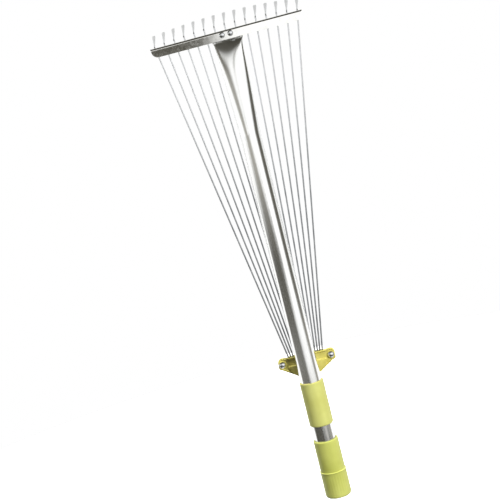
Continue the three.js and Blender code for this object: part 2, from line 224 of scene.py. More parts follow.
def mesh_piece(name, points, faces):
    """A new object from points and faces, with doubled points merged and every face outwards."""
    mesh = bpy.data.meshes.new(name)
    mesh.from_pydata(points, [], faces)
    cleaned = bmesh.new()
    cleaned.from_mesh(mesh)
    bmesh.ops.remove_doubles(cleaned, verts=cleaned.verts, dist=1e-7)
    bmesh.ops.recalc_face_normals(cleaned, faces=cleaned.faces)
    cleaned.to_mesh(mesh)
    cleaned.free()
    piece = bpy.data.objects.new(name, mesh)
    bpy.context.scene.collection.objects.link(piece)
    return piece


def loft(name, rings, closed=False):
    """A skin through rings of equal length, capped at both ends unless it closes on itself."""
    count = len(rings[0])
    points = [point for ring in rings for point in ring]
    faces = []
    for row in range(len(rings) if closed else len(rings) - 1):
        this, following = row * count, (row + 1) % len(rings) * count
        for i in range(count):
            j = (i + 1) % count
            faces.append((this + i, this + j, following + j, following + i))
    if not closed:
        faces.append(tuple(range(count)))
        faces.append(tuple(range(len(points) - count, len(points))))
    return mesh_piece(name, points, faces)


def lathe(name, profile_at, sides=96):
    """A closed section of (radius, z) points turned about Z. profile_at gives it for each angle."""
    rings = []
    for side in range(sides):
        angle = 2 * math.pi * side / sides
        profile = profile_at(angle)
        rings.append([(r * math.cos(angle), r * math.sin(angle), z) for r, z in profile])
    return loft(name, rings, closed=True)


def arc(centre_u, centre_v, radius, start, end, steps=6):
    """Points on an arc in a plane, from one angle in degrees to another."""
    points = []
    for step in range(steps + 1):
        angle = math.radians(lerp(start, end, step / steps))
        points.append((centre_u + radius * math.cos(angle), centre_v + radius * math.sin(angle)))
    return points


def circle(centre_u, centre_v, radius, sides):
    """Points round a whole circle in a plane, each one once."""
    return arc(centre_u, centre_v, radius, 0, 360 * (sides - 1) / sides, sides - 1)


def inset(outline, distance):
    """An anticlockwise outline moved inwards by a distance, with mitred corners."""
    moved = []
    for i, point in enumerate(outline):
        here = Vector(point)
        before = (here - Vector(outline[i - 1])).normalized()
        after = (Vector(outline[(i + 1) % len(outline)]) - here).normalized()
        inwards = Vector((-before.y - after.y, before.x + after.x))
        half = max(inwards.length / 2, 0.3)
        moved.append(tuple(here + inwards.normalized() * distance / half))
    return moved


def plate(name, outline, front_y, back_y, edge=0.5 * MM, steps=3):
    """A plate from an outline of (x, z) points, with rounded front and back edges."""
    rings = []
    for side in (1, -1):
        for step in range(steps + 1)[::side]:
            turn = math.pi / 2 * step / steps
            depth = edge * (1 - math.cos(turn))
            y = front_y + depth if side == 1 else back_y - depth
            rim = inset(outline, edge * (1 - math.sin(turn)))
            rings.append([(x, y, z) for x, z in rim])
    return loft(name, rings)


def rod(name, x, z, radius, front_y, back_y, sides=32):
    """A plain cylinder along Y, for cutting and joining."""
    rim = circle(x, z, radius, sides)
    return loft(name, [[(u, y, v) for u, v in rim] for y in (front_y, back_y)])


def pillar(name, x, y, radius, low_z, high_z, sides):
    """A plain cylinder along Z."""
    rim = circle(x, y, radius, sides)
    return loft(name, [[(u, v, z) for u, v in rim] for z in (low_z, high_z)])


def block(name, low, high):
    """A plain box between two corners, for joining."""
    left, front, bottom = low
    right, back, top = high
    corners = ((left, front), (right, front), (right, back), (left, back))
    return loft(name, [[(x, y, z) for x, y in corners] for z in (bottom, top)])


def drill(x, z, radius, sides=32):
    """A cylinder along Y from the tube's axis to behind the holder, for cutting a hole."""
    return rod("drill", x, z, radius, 0, DRILL_REACH, sides)


def drill_pair(place):
    """Drills for a screw's or bolt's hole and for its twin on the other side of the rake."""
    return [drill(side * place.x, place.z, BOLT_RADIUS + GAP) for side in (-1, 1)]


def apply_modifiers(piece):
    evaluated = piece.evaluated_get(bpy.context.evaluated_depsgraph_get())
    finished = bpy.data.meshes.new_from_object(evaluated)
    rough = piece.data
    piece.modifiers.clear()
    piece.data = finished
    bpy.data.meshes.remove(rough)


def combine(piece, operation, *tools):
    """Joins the tools to a piece (UNION) or cuts them from it (DIFFERENCE)."""
    for tool in tools:
        step = piece.modifiers.new("combine", "BOOLEAN")
        step.operation = operation
        step.solver = "EXACT"
        step.object = tool
        apply_modifiers(piece)
        bpy.data.objects.remove(tool)
    return piece


def soften(piece, width, segments=2, angle=40):
    bevel = piece.modifiers.new("soften", "BEVEL")
    bevel.width = width
    bevel.segments = segments
    bevel.limit_method = "ANGLE"
    bevel.angle_limit = math.radians(angle)
    apply_modifiers(piece)


def mould(piece, grain=0.4 * MM, rounds=5):
    """Runs the edges and inner corners of a plastic piece into small radii."""
    remesh = piece.modifiers.new("remesh", "REMESH")
    remesh.mode = "VOXEL"
    remesh.voxel_size = grain
    smooth = piece.modifiers.new("smooth", "SMOOTH")
    smooth.factor = 0.5
    smooth.iterations = rounds
    apply_modifiers(piece)


def stand_in(piece, node, material, sharp_angle=35):
    """The finished piece takes a CAD node's place, body and finish."""
    piece.data.materials.clear()
    piece.data.materials.append(material)
    piece.data.shade_smooth()
    piece.data.set_sharp_from_angle(angle=math.radians(sharp_angle))
    weigh = piece.modifiers.new("weigh", "WEIGHTED_NORMAL")
    weigh.keep_sharp = True
    apply_modifiers(piece)
    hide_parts(node)
    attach(piece, BODY_OF[node])


# ---- materials ----
def srgb(red, green, blue):
    """A colour from its 0 to 255 display values."""
    linear = []
    for value in (red, green, blue):
        share = value / 255
        linear.append(share / 12.92 if share <= 0.04045 else ((share + 0.055) / 1.055) ** 2.4)
    return (*linear, 1.0)


class Nodes:
    """A node tree being built. A link's source is another node's output, or a plain value."""

    def __init__(self, tree):
        self.tree = tree

    def node(self, kind, links, **settings):
        made = self.tree.nodes.new(kind)
        for key, value in settings.items():
            setattr(made, key, value)
        for socket, source in links.items():
            if isinstance(source, bpy.types.NodeSocket):
                self.tree.links.new(source, made.inputs[socket])
            else:
                made.inputs[socket].default_value = source
        return made

    def math(self, operation, *values):
        return self.node("ShaderNodeMath", dict(enumerate(values)), operation=operation).outputs[0]

    def mix(self, share, first, second):
        sockets = {0: share, 6: first, 7: second}
        return self.node("ShaderNodeMix", sockets, data_type="RGBA").outputs[2]

    def slope(self, value, start, end, low=0.0, high=1.0):
        """From low to high as a value goes from start to end, with no corner at either."""
        sockets = {"Value": value, "From Min": start, "From Max": end, "To Min": low, "To Max": high}
        return self.node("ShaderNodeMapRange", sockets, interpolation_type="SMOOTHSTEP").outputs["Result"]


class Surface(Nodes):
    """A Principled material being built. Its textures are laid out in the part's own metres."""

    def __init__(self, name, metallic, specular=0.5):
        self.material = bpy.data.materials.new(name)
        self.material.use_nodes = True
        super().__init__(self.material.node_tree)
        self.shader = self.tree.nodes["Principled BSDF"]
        self.shader.inputs["Metallic"].default_value = metallic
        self.shader.inputs["Specular IOR Level"].default_value = specular
        self.place = self.tree.nodes.new("ShaderNodeTexCoord").outputs["Object"]

    def stretched(self, x, y, z):
        """The place, with its features made finer along each axis by a factor."""
        mapping = self.node("ShaderNodeMapping", {"Vector": self.place, "Scale": (x, y, z)})
        return mapping.outputs["Vector"]

    def noise(self, vector, scale=1.0, detail=3.0, roughness=0.5):
        sockets = {"Vector": vector, "Scale": scale, "Detail": detail, "Roughness": roughness}
        return self.node("ShaderNodeTexNoise", sockets).outputs["Fac"]

    def cells(self, vector, scale):
        """A random shade for each cell of an uneven mosaic."""
        return self.node("ShaderNodeTexVoronoi", {"Vector": vector, "Scale": scale}).outputs["Color"]

    def spread(self, value, low, high, from_low=0.3, from_high=0.7):
        """From low to high as a value goes from from_low to from_high, in a straight line."""
        sockets = {
            "Value": value, "From Min": from_low, "From Max": from_high, "To Min": low, "To Max": high}
        return self.node("ShaderNodeMapRange", sockets).outputs["Result"]

    def set(self, socket, source):
        self.tree.links.new(source, self.shader.inputs[socket])

    def relief(self, height, distance, strength):
        sockets = {"Height": height, "Distance": distance, "Strength": strength}
        return self.node("ShaderNodeBump", sockets).outputs["Normal"]


def drawn_aluminium():
    """Satin tube with fine lines along it from drawing, and faint clouding."""
    look = Surface("drawn_aluminium", metallic=1.0)
    lines = look.noise(look.stretched(2600, 2600, 9), detail=4)
    cloud = look.noise(look.stretched(40, 40, 14), detail=3)
    look.set("Base Color", look.mix(look.spread(cloud, 0, 1), srgb(228, 229, 228), srgb(240, 240, 238)))
    look.set("Roughness", look.spread(lines, 0.13, 0.2))
    look.set("Normal", look.relief(lines, 0.006 * MM, 0.5))
    return look.material


def galvanised_sheet():
    """Zinc spangle in small uneven patches, with a fine grain over it."""
    look = Surface("galvanised_sheet", metallic=1.0)
    spangle = look.cells(look.place, 260)
    patch = look.node("ShaderNodeSeparateColor", {"Color": spangle}).outputs["Red"]
    grain = look.noise(look.place, 1400, 5)
    look.set("Base Color", look.mix(patch, srgb(226, 226, 223), srgb(240, 240, 237)))
    look.set("Roughness", look.spread(patch, 0.06, 0.09, 0, 1))
    look.set("Normal", look.relief(grain, 0.006 * MM, 0.3))
    return look.material


def spring_wire():
    """Hard drawn wire, grey with darker stretches of oil and scale, and brighter towards the tips."""
    look = Surface("spring_wire", metallic=1.0)
    lines = look.noise(look.stretched(4000, 4000, 30), detail=3)
    stains = look.noise(look.stretched(60, 60, 60), detail=4)
    base = look.mix(look.spread(stains, 0, 1), srgb(146, 149, 152), srgb(190, 192, 194))
    height = look.node("ShaderNodeSeparateXYZ", {0: look.place}).outputs["Z"]
    # The base colour turns paler going up the wire, from well below the pressed part of the tube to just
    # under the guide plate, and stays pale over the tips.
    paler_towards_tips = look.slope(height, FLATTEN_START - 100 * MM, FLATTEN_END - 30 * MM)
    look.set("Base Color", look.mix(paler_towards_tips, base, srgb(226, 228, 230)))
    look.set("Roughness", look.spread(lines, 0.26, 0.4))
    look.set("Normal", look.relief(lines, 0.005 * MM, 0.5))
    return look.material


def moulded_plastic(name, pale, deep, rough, streak):
    """Moulded plastic with flow marks up it, slow shifts of colour and a fine sparked grain."""
    look = Surface(name, metallic=0.0, specular=0.5)
    flow = look.noise(look.stretched(170, 170, 12), detail=2)
    cloud = look.noise(look.stretched(35, 35, 35), detail=3)
    grain = look.noise(look.place, 1900, 3)
    base = look.mix(look.spread(cloud, 0, 1), deep, pale)
    look.set("Base Color", look.mix(look.spread(flow, 0, streak), base, deep))
    look.set("Roughness", look.spread(cloud, rough - 0.04, rough + 0.06))
    look.set("Normal", look.relief(grain, 0.03 * MM, 0.35))
    return look.material


def bright_zinc():
    """Plated screws, bolts and nuts: bright, with slight clouding."""
    look = Surface("bright_zinc", metallic=1.0)
    cloud = look.noise(look.place, 500, 4)
    look.set("Base Color", look.mix(look.spread(cloud, 0, 1), srgb(200, 203, 206), srgb(236, 238, 240)))
    look.set("Roughness", look.spread(cloud, 0.12, 0.24))
    look.set("Normal", look.relief(cloud, 0.01 * MM, 0.3))
    return look.material


ALUMINIUM = drawn_aluminium()
GALVANISED = galvanised_sheet()
SPRING_STEEL = spring_wire()
ZINC = bright_zinc()
SOCKET_PLASTIC = moulded_plastic("socket_plastic", srgb(212, 216, 122), srgb(189, 193, 94), 0.42, 0.5)
SLEEVE_PLASTIC = moulded_plastic("sleeve_plastic", srgb(217, 218, 134), srgb(197, 197, 106), 0.46, 0.4)
HOLDER_PLASTIC = moulded_plastic("holder_plastic", srgb(221, 212, 126), srgb(195, 184, 86), 0.3, 0.4)


# ---- tube ----
def pressed_share(z):
    """How far up the pressed part a height is: 0 below it, 1 above it."""
    return max(0.0, min(1.0, (z - FLATTEN_START) / (FLATTEN_END - FLATTEN_START)))


def pressed_thickness(z, steepness):
    """How thick the tube is at a height: a steady taper, then a steep ramp down to the flat."""
    share = pressed_share(z)
    pressed = TAPER_SHARE * share + (1 - TAPER_SHARE) * share ** (steepness + 1)
    return lerp(2 * TUBE_RADIUS, FLAT_THICKNESS, pressed)


def pressed_ring(z, wall=0.0, sides=120):
    """The tube's section at a height: round, then pressed flat against the line of its back.

    The ramp starts lower on the left of the front than on the right, as a dent."""
    thickness = pressed_thickness(z, DENT_RIGHT_STEEPNESS)
    end_radius = thickness / 2
    straight = math.pi * (TUBE_RADIUS - end_radius) / 2
    half_width = straight + end_radius
    half_depth = max(end_radius - wall, THINNEST_INSIDE)
    flat = pressed_share(z) ** 4
    ring = []
    for side in range(sides):
        angle = 2 * math.pi * side / sides
        oval_x = (straight + half_depth) * math.sin(angle)
        oval_y = -half_depth * math.cos(angle)
        stadium_x, stadium_y = stadium_point(side / sides, straight, half_depth)
        x = lerp(oval_x, stadium_x, flat)
        y = lerp(oval_y, stadium_y, flat)
        across = (x / half_width + 1) / 2
        steepness = lerp(DENT_LEFT_STEEPNESS, DENT_RIGHT_STEEPNESS, across ** 3)
        pressed = pressed_thickness(z, steepness) / thickness
        ring.append((x, TUBE_RADIUS - (end_radius - y) * pressed, z))
    return ring


def stadium_point(share, straight, radius):
    """A point on two half circles joined by flats, by its share of the way round from the front."""
    arc_length = math.pi * radius
    along = share * (4 * straight + 2 * arc_length)
    if along < straight:
        return along, -radius
    along -= straight
    if along < arc_length:
        angle = along / radius
        return straight + radius * math.sin(angle), -radius * math.cos(angle)
    along -= arc_length
    if along < 2 * straight:
        return straight - along, radius
    along -= 2 * straight
    if along < arc_length:
        angle = along / radius
        return -straight - radius * math.sin(angle), radius * math.cos(angle)
    return along - arc_length - straight, -radius


def make_tube():
    """A skin from the cavity's top down the inside, round the foot and up the outside to the top."""
    foot, top = tube_low.z, tube_high.z
    straight_part = [lerp(foot, FLATTEN_START - EDGE_BREAK, step / 12) for step in range(1, 13)]
    pressed_part = [lerp(FLATTEN_START, FLATTEN_END, step / 48) for step in range(49)]
    outer = [foot + EDGE_BREAK, *straight_part, *pressed_part, top - EDGE_BREAK]
    inner = [z for z in outer if foot + MM < z < CAVITY_END][::-1]
    rings = [pressed_ring(z, TUBE_WALL) for z in inner]
    rings.append(pressed_ring(foot, TUBE_WALL))
    rings.append(pressed_ring(foot, EDGE_BREAK))
    rings.extend(pressed_ring(z) for z in outer)
    rings.append(pressed_ring(top, EDGE_BREAK))
    tube = loft("tube_body", rings)
    combine(tube, "DIFFERENCE", *drill_pair(BOLT))
    stand_in(tube, "rake_tube", ALUMINIUM)


# ---- pole socket and lock sleeve ----
def grip_outline(angle):
    """The wide lower part, whose shallow upright ribs fade out towards both of its ends."""
    rib = GRIP_RIB_DEPTH * (0.5 - 0.5 * math.cos(GRIP_RIBS * angle)) ** 2
    low, high = SOCKET_FOOT_ROUND + MM, SOCKET_SHOULDER - RIDGE_RISE
    steps = 12
    outline = []
    for step in range(steps + 1):
        fade = ease(min(step, steps - step) / 2)
        outline.append((SOCKET_GRIP_RADIUS - rib * fade, lerp(low, high, step / steps)))
    return outline


def pole_thread(angle, low, high):
    """The bore from high down to low, with a coarse screw thread that fades at both ends."""
    steps = 84
    bore = []
    for step in range(steps + 1):
        z = lerp(high, low, step / steps)
        turn = z / POLE_THREAD_PITCH - angle / (2 * math.pi)
        groove = ease(1.6 * (0.5 + 0.5 * math.cos(2 * math.pi * turn)) - 0.3)
        fade = ease(min(step, steps - step) / 8)
        bore.append((SOCKET_BORE_RADIUS + POLE_THREAD_DEPTH * groove * fade, z))
    return bore


def socket_profile(angle):
    """The socket's section at an angle: ribbed grip, ridge and neck outside, seat and thread inside."""
    top, ridge = socket_high.z, socket_high.x
    foot, rim, bead = SOCKET_FOOT_ROUND, SOCKET_RIM_ROUND, RIDGE_BEAD
    outside = arc(SOCKET_GRIP_RADIUS - foot, foot, foot, -90, 0)
    outside.extend(grip_outline(angle))
    outside.extend(arc(ridge - bead, SOCKET_SHOULDER - bead, bead, -50, 60))
    outside.append((SOCKET_NECK_RADIUS, SOCKET_SHOULDER + RIDGE_FALL))
    outside.append((SOCKET_NECK_RADIUS, top - rim - 0.2 * MM))
    outside.extend(arc(SOCKET_NECK_RADIUS - rim, top - rim, rim, 15, 80))
    seat = TUBE_RADIUS + SEAT_CLEARANCE
    floor = tube_low.z - GAP
    inside = [(seat + SEAT_LEAD_IN, top), (seat, top - SEAT_LEAD_IN), (seat, floor)]
    inside.append((SOCKET_BORE_RADIUS, floor))
    inside.extend(pole_thread(angle, POLE_THREAD_START, floor - 2 * GAP))
    inside.append((SOCKET_BORE_RADIUS + POLE_THREAD_DEPTH - 0.1 * MM, 0))
    return outside + inside


def make_socket():
    """The socket at the bottom, turned from its section, with the ribs and thread in it."""
    socket = lathe("socket_body", socket_profile, sides=240)
    stand_in(socket, "pole_socket", SOCKET_PLASTIC)


def sleeve_profile(_angle):
    """The sleeve's section: a rounded lower end, a thin upper rim and a wider bore for the collet."""
    bore = TUBE_RADIUS + RUNNING_CLEARANCE
    counterbore = COLLET_RADIUS + RUNNING_CLEARANCE
    radius, bottom, top = sleeve_high.x, sleeve_low.z, sleeve_high.z
    foot, rim = SLEEVE_FOOT_ROUND, SLEEVE_RIM_ROUND
    outside = [(bore, bottom + EDGE_BREAK), (bore + EDGE_BREAK, bottom)]
    outside.extend(arc(radius - foot, bottom + foot, foot, -90, 0))
    outside.extend([(radius, lerp(bottom, top, step / 4)) for step in (1, 2, 3)])
    outside.extend(arc(radius - rim, top - rim, rim, 0, 90, 4))
    floor = COLLET_BOTTOM - GAP
    inside = [(counterbore, top), (counterbore, floor), (bore, floor)]
    return outside + inside


def make_sleeve():
    sleeve = lathe("sleeve_body", sleeve_profile, sides=144)
    stand_in(sleeve, "lock_sleeve", SLEEVE_PLASTIC)


# ---- tine holder ----
def holder_outline():
    """Round lobes about the two screws, a straight top, and lower edges that slope to the waist."""
    lobe_x = HOLDER_HALF_WIDTH - WING_CORNER
    lobe_z = HOLDER_TOP - WING_CORNER
    foot_x = HOLDER_HALF_WIDTH - WING_FOOT_ROUND
    foot_z = WING_BOTTOM + WING_FOOT_LIFT
    right = [(WAIST_HALF, HOLDER_BOTTOM), (HOLDER_HALF_WIDTH - WING_FOOT_INSET, WING_BOTTOM)]
    right.extend(arc(foot_x, foot_z, WING_FOOT_ROUND, -55, 0, 4))
    right.extend(arc(lobe_x, lobe_z, WING_CORNER, 0, 110, 12))
    right.append((lobe_x - TOP_DIP_START, HOLDER_TOP - TOP_DIP))
    return with_mirror_image(right)


def with_mirror_image(right):
    """A whole outline of (x, z) points from its right half, which starts at the bottom."""
    return right + [(-x, z) for x, z in reversed(right)]


def gusset_outline(half_width, top, slant):
    """A raised stretch across the waist, with its ends slanting in towards the bottom."""
    shoulder = HOLDER_BOTTOM + GUSSET_SHOULDER
    right = [(WAIST_HALF, HOLDER_BOTTOM + GAP), (half_width - slant, shoulder)]
    right.extend([(half_width, top - GUSSET_CORNER), (half_width - GUSSET_CORNER, top)])
    return with_mirror_image(right)


def rods_round_screws(radius, front_y, back_y):
    """The solid material that the holder has round each of its two screws."""
    return [rod("rod", side * SCREW.x, SCREW.z, radius, front_y, back_y) for side in (-1, 1)]


def collar_section(z, front_y=None):
    """The thin collet wall's section at a height, split at the front, or only its part behind front_y."""
    bore = TUBE_RADIUS + RUNNING_CLEARANCE
    if front_y is None:
        edge_angle = math.degrees(math.asin(COLLET_SPLIT / 2 / bore)) - 90
    else:
        edge_angle = math.degrees(math.asin(front_y / COLLET_RADIUS))
    outer = arc(0, 0, COLLET_RADIUS, edge_angle, 180 - edge_angle, 60)
    inner = arc(0, 0, bore, 180 - edge_angle, edge_angle, 60)
    return [(x, y, z) for x, y in outer + inner]


def recessed_plate():
    """The plate in front of the tines, with a shallow recess inside its rim."""
    front = plate("holder_front_plate", holder_outline(), WING_FRONT_Y, CHANNEL_FRONT_Y)
    rim = inset(holder_outline(), WING_RECESS_EDGE)
    recess = plate("recess", rim, 0, WING_FRONT_Y + WING_RECESS_DEPTH, 0.1 * MM)
    combine(front, "DIFFERENCE", recess)
    return front


def make_holder_front():
    """The front plate with its raised block and screw seats, and the stem and collet below it."""
    front = recessed_plate()
    outline = gusset_outline(GUSSET_HALF_WIDTH, GUSSET_TOP, GUSSET_SLANT)
    gusset = plate("gusset", outline, GUSSET_FRONT_Y, CHANNEL_FRONT_Y)
    seats = rods_round_screws(SEAT_RADIUS, WING_FRONT_Y, CHANNEL_FRONT_Y)
    stem_low = (-STEM_HALF_WIDTH, TUBE_RADIUS + GAP, STEM_BOTTOM)
    stem = block("stem", stem_low, (STEM_HALF_WIDTH, CHANNEL_FRONT_Y, HOLDER_BOTTOM + MM))
    combine(front, "UNION", gusset, *seats, stem)
    mould(front)
    bore = TUBE_RADIUS + RUNNING_CLEARANCE
    passage = pillar("passage", 0, 0, bore, sleeve_low.z, 2 * HOLDER_TOP, 144)
    combine(front, "DIFFERENCE", passage, *drill_pair(SCREW))
    collet = loft("collet", [collar_section(z) for z in (COLLET_BOTTOM, STEM_BOTTOM)])
    saddle_ends = (STEM_BOTTOM - SADDLE_OVERLAP, HOLDER_BOTTOM + SADDLE_HEIGHT)
    saddle = loft("saddle", [collar_section(z, SADDLE_FRONT_Y) for z in saddle_ends])
    combine(front, "UNION", collet, saddle)
    stand_in(front, "tine_holder_front", HOLDER_PLASTIC)


def tine_numbers():
    """From the left of the rake to the right, with the middle tine as 0."""
    half = TINE_COUNT // 2
    return range(-half, half + 1)


def back_ribs():
    """A rib on each wing's back, from inside the pivot bar's end to beside the screw."""
    ribs = []
    for side in (-1, 1):
        start, end = sorted((side * PIVOT_BAR_HALF_WIDTH * 0.9, side * (SCREW.x - 3.5 * MM)))
        low = (start, WING_BACK_Y - 0.5 * MM, SCREW.z - RIB_HALF_HEIGHT)
        ribs.append(block("rib", low, (end, WING_BACK_Y + RIB_RISE, SCREW.z + RIB_HALF_HEIGHT)))
    return ribs


def make_holder_back():
    """The plate behind the tines, with the bar that their hooks turn in, and its ribs and bosses."""
    back = plate("holder_back_plate", holder_outline(), CHANNEL_BACK_Y, WING_BACK_Y)
    outline = gusset_outline(PIVOT_BAR_HALF_WIDTH, HOLDER_TOP - 0.4 * MM, PIVOT_BAR_SLANT)
    bar = plate("bar", outline, CHANNEL_BACK_Y, HOLDER_BACK_Y, PIVOT_BAR_EDGE)
    spacer_front_y = CHANNEL_FRONT_Y + GAP
    spacer_top = PIVOT_Z - WIRE_RADIUS - SPACER_BELOW_WIRE
    spacer_low = (-WAIST_HALF, spacer_front_y, HOLDER_BOTTOM)
    spacer = block("spacer", spacer_low, (WAIST_HALF, WING_BACK_Y, spacer_top))
    bosses = rods_round_screws(BOSS_RADIUS, spacer_front_y, WING_BACK_Y)
    combine(back, "UNION", bar, spacer, *bosses, *back_ribs())
    mould(back)
    pivots = [drill(number * PIVOT_PITCH, PIVOT_Z, PIVOT_HOLE_RADIUS, 20) for number in tine_numbers()]
    combine(back, "DIFFERENCE", *pivots, *drill_pair(SCREW))
    stand_in(back, "tine_holder_back", HOLDER_PLASTIC)


# ---- tines ----
def tine_path():
    """(y, z, y direction, z direction, share of the tip) along a wire whose pivot is the origin."""
    stations = [(HOOK_DEPTH, 0.0, -1.0, 0.0, 0.0)]
    for step in range(9):
        turn = math.pi / 2 * step / 8
        y = HOOK_BEND * (1 - math.sin(turn))
        z = HOOK_BEND * (1 - math.cos(turn))
        stations.append((y, z, -math.cos(turn), math.sin(turn), 0.0))
    for step in range(1, 20):
        stations.append((0.0, lerp(HOOK_BEND, TINE_LENGTH, step / 20), 0.0, 1.0, 0.0))
    for step in range(13):
        turn = TIP_ANGLE * step / 12
        y = TIP_BEND * (1 - math.cos(turn))
        z = TINE_LENGTH + TIP_BEND * math.sin(turn)
        stations.append((y, z, math.sin(turn), math.cos(turn), 0.0))
    y, z, along_y, along_z, _share = stations[-1]
    for step in range(1, 17):
        part = step / 16
        reach = TIP_LENGTH * part
        stations.append((y + along_y * reach, z + along_z * reach, along_y, along_z, part))
    return stations


def tine_ring(station, sides=16):
    """The wire's section: round, then hammered wider and thinner, with a rounded end."""
    y, z, along_y, along_z, share = station
    blunt = 1 - 0.2 * ease((share - 0.98) / 0.02)
    half_width = WIRE_RADIUS * lerp(1, TIP_WIDENING, share) * blunt
    half_depth = WIRE_RADIUS * lerp(1, TIP_THINNING, ease(share * 1.3)) * blunt
    ring = []
    for side in range(sides):
        angle = 2 * math.pi * side / sides
        through = half_depth * math.sin(angle)
        ring.append((half_width * math.cos(angle), y + along_z * through, z - along_y * through))
    return ring


def make_tines():
    reach = guide_high.z - GUIDE_SHEET / 2 - PIVOT_Z
    for index, number in enumerate(tine_numbers(), start=1):
        tine = loft(f"wire_{index:02d}", [tine_ring(station) for station in tine_path()])
        lean = math.atan2(number * (GUIDE_PITCH - PIVOT_PITCH), reach)
        place = Matrix.Translation((number * PIVOT_PITCH, TINE_Y, PIVOT_Z))
        tine.data.transform(place @ Matrix.Rotation(lean, 4, "Y"))
        stand_in(tine, f"tine_{index:02d}", SPRING_STEEL, 60)


# ---- guide plate ----
def guide_strip():
    """Stations from the flange's lower edge over the fold to the web's back edge.

    For each: the outer (y, z), the inner (y, z) and half the strip's length there."""
    front, top, bottom = guide_low.y, guide_high.z, guide_low.z
    half_length = guide_high.x
    flange_half = half_length - FLANGE_SHORTER_BY
    inner_fold = GUIDE_FOLD - GUIDE_SHEET
    stations = []
    for step in range(13):
        turn = math.pi / 2 * step / 12
        z = bottom + FLANGE_CORNER * (1 - math.cos(turn))
        half = flange_half - FLANGE_CORNER * (1 - math.sin(turn))
        stations.append(((front, z), (front + GUIDE_SHEET, z), half))
    for step in range(9):
        turn = 90 * step / 8
        outer = arc(front + GUIDE_FOLD, top - GUIDE_FOLD, GUIDE_FOLD, 180 - turn, 0, 1)[0]
        inner = arc(front + GUIDE_FOLD, top - GUIDE_FOLD, inner_fold, 180 - turn, 0, 1)[0]
        stations.append((outer, inner, lerp(flange_half, half_length, step / 8)))
    back = guide_high.y
    for step in range(1, 9):
        turn = math.pi / 2 * step / 8
        y = back - WEB_CORNER * (1 - math.sin(turn))
        half = half_length - WEB_CORNER * (1 - math.cos(turn))
        stations.append(((y, top), (y, top - GUIDE_SHEET), half))
    return stations


def guide_sheet():
    """The folded strip, cut across into slices so that its long faces stay even."""
    stations = guide_strip()
    count = len(stations)
    slices = 36
    points = []
    for cut in range(slices + 1):
        along = -1 + 2 * cut / slices
        outer = [(along * half, y, z) for (y, z), _, half in stations]
        inner = [(along * half, y, z) for _, (y, z), half in stations]
        points.extend(outer + inner[::-1])
    ring = 2 * count
    faces = []
    for cut in range(slices):
        this, following = cut * ring, (cut + 1) * ring
        for i in range(ring):
            j = (i + 1) % ring
            faces.append((this + i, this + j, following + j, following + i))
    for start in (0, slices * ring):
        for i in range(count - 1):
            faces.append((start + i, start + i + 1, start + ring - 2 - i, start + ring - 1 - i))
    return mesh_piece("guide_plate", points, faces)


def make_guide():
    """The folded strip, with a hole for each tine down through its web and two for the bolts."""
    guide = guide_sheet()
    soften(guide, GUIDE_EDGE_BREAK)
    low_z, high_z = guide_high.z - 4 * MM, guide_high.z + 4 * MM
    tine_holes = [
        pillar("drill", number * GUIDE_PITCH, TINE_Y, GUIDE_HOLE_RADIUS, low_z, high_z, 24)
        for number in tine_numbers()
    ]
    combine(guide, "DIFFERENCE", *tine_holes, *drill_pair(BOLT))
    stand_in(guide, "tine_guide", GALVANISED)


# ---- fasteners ----
def screw_head(radius, top_y, under_head_y):
    """(radius, y) points of a domed head, from the middle of its top to the shank."""
    rim_y = under_head_y - HEAD_RIM
    points = []
    for step in range(13):
        turn = math.pi / 2 * step / 12
        dome = (rim_y - top_y) * math.cos(turn)
        points.append((max(radius * math.sin(turn), HEAD_MIDDLE_RADIUS), rim_y - dome))
    points.append((radius - HEAD_UNDERCUT, under_head_y))
    points.append((BOLT_RADIUS, under_head_y))
    return points


def screw_thread(start_y, end_y):
    """(radius, y) points of a V thread, and of the short cone at its end."""
    points = []
    y = start_y
    while y < end_y - 1.2 * THREAD_STEP:
        points.append((BOLT_RADIUS, y))
        points.append((BOLT_RADIUS - THREAD_DEPTH, y + THREAD_STEP / 2))
        y += THREAD_STEP
    points.append((BOLT_RADIUS - 0.1 * MM, y))
    points.append((BOLT_RADIUS - 2 * THREAD_DEPTH, end_y))
    return points


def make_screw(node, head_height, thread_start_y):
    """A domed screw along Y that fills its CAD node's box, with a thread on its far end."""
    low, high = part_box(node)
    middle = (low + high) / 2
    profile = screw_head((high.x - low.x) / 2, low.y, low.y + head_height)
    profile.extend(screw_thread(thread_start_y, high.y))
    rings = []
    for radius, y in profile:
        rings.append([(x, y, z) for x, z in circle(middle.x, middle.z, radius, 40)])
    screw = loft(f"{node}_domed", rings)
    stand_in(screw, node, ZINC)


def hexagon_radius(angle):
    """Distance from a nut's axis to its side, for an angle."""
    turn = (angle + math.pi / 6) % (math.pi / 3) - math.pi / 6
    return NUT_ACROSS_FLATS / 2 / math.cos(turn)


def make_nut(node):
    """A hex nut along Y with chamfered corners and a countersunk bore.

    Each point of its section is pulled in to the hexagon's side at that angle."""
    low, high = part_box(node)
    middle = (low + high) / 2
    bore = BOLT_RADIUS + NUT_BORE_CLEARANCE
    countersunk = bore + HEAD_RIM
    beyond_corners = NUT_ACROSS_FLATS
    section = [
        (bore, low.y + HEAD_RIM), (countersunk, low.y), (NUT_FACE_RADIUS, low.y),
        (beyond_corners, low.y + NUT_CORNER), (beyond_corners, high.y - NUT_CORNER),
        (NUT_FACE_RADIUS, high.y), (countersunk, high.y), (bore, high.y - HEAD_RIM),
    ]
    sides = 72
    rings = []
    for side in range(sides):
        angle = 2 * math.pi * side / sides
        flat = hexagon_radius(angle + math.pi / 6)
        ring = []
        for radius, y in section:
            reach = min(radius, flat)
            ring.append((middle.x + reach * math.cos(angle), y, middle.z + reach * math.sin(angle)))
        rings.append(ring)
    nut = loft(f"{node}_hex", rings, closed=True)
    stand_in(nut, node, ZINC)


